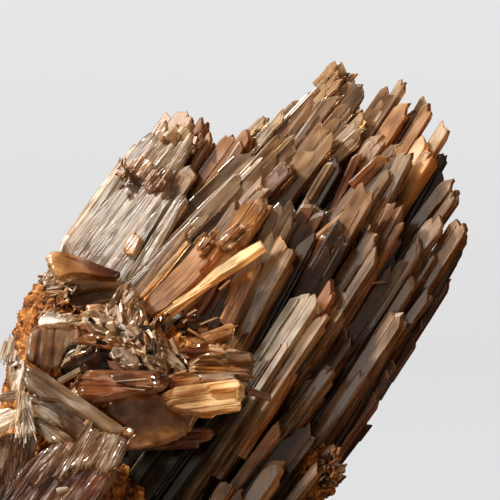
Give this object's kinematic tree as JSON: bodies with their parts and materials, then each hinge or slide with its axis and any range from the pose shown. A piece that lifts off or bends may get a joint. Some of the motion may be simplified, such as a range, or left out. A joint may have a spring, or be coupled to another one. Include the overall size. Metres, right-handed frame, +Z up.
{
  "type": "barite crystal specimen",
  "caption": "Sheaf of brown bladed barite crystals leaning out of a rusty limonite matrix, broken off flat to stand on its foot.",
  "frame": {"origin": "on the flat broken foot, below the crystal sheaf", "axes": "+Z up from the foot, front of the specimen towards -Y, the crystals lean towards +X"},
  "size_m": [0.1025, 0.0683, 0.1126],
  "materials": {
    "limonite": "matte",
    "brown_barite": "gloss",
    "pale_barite": "gloss",
    "honey_barite": "gloss",
    "grey_barite": "gloss"
  },
  "bodies": {
    "root": {"limonite_matrix": "limonite", "crystal_sheaf": "brown_barite", "pale_crystal_block": "pale_barite", "front_crystal_cluster": "honey_barite", "lower_left_crystal_cluster": "grey_barite", "wedge_crystal": "brown_barite"}
  },
  "joints": []
}
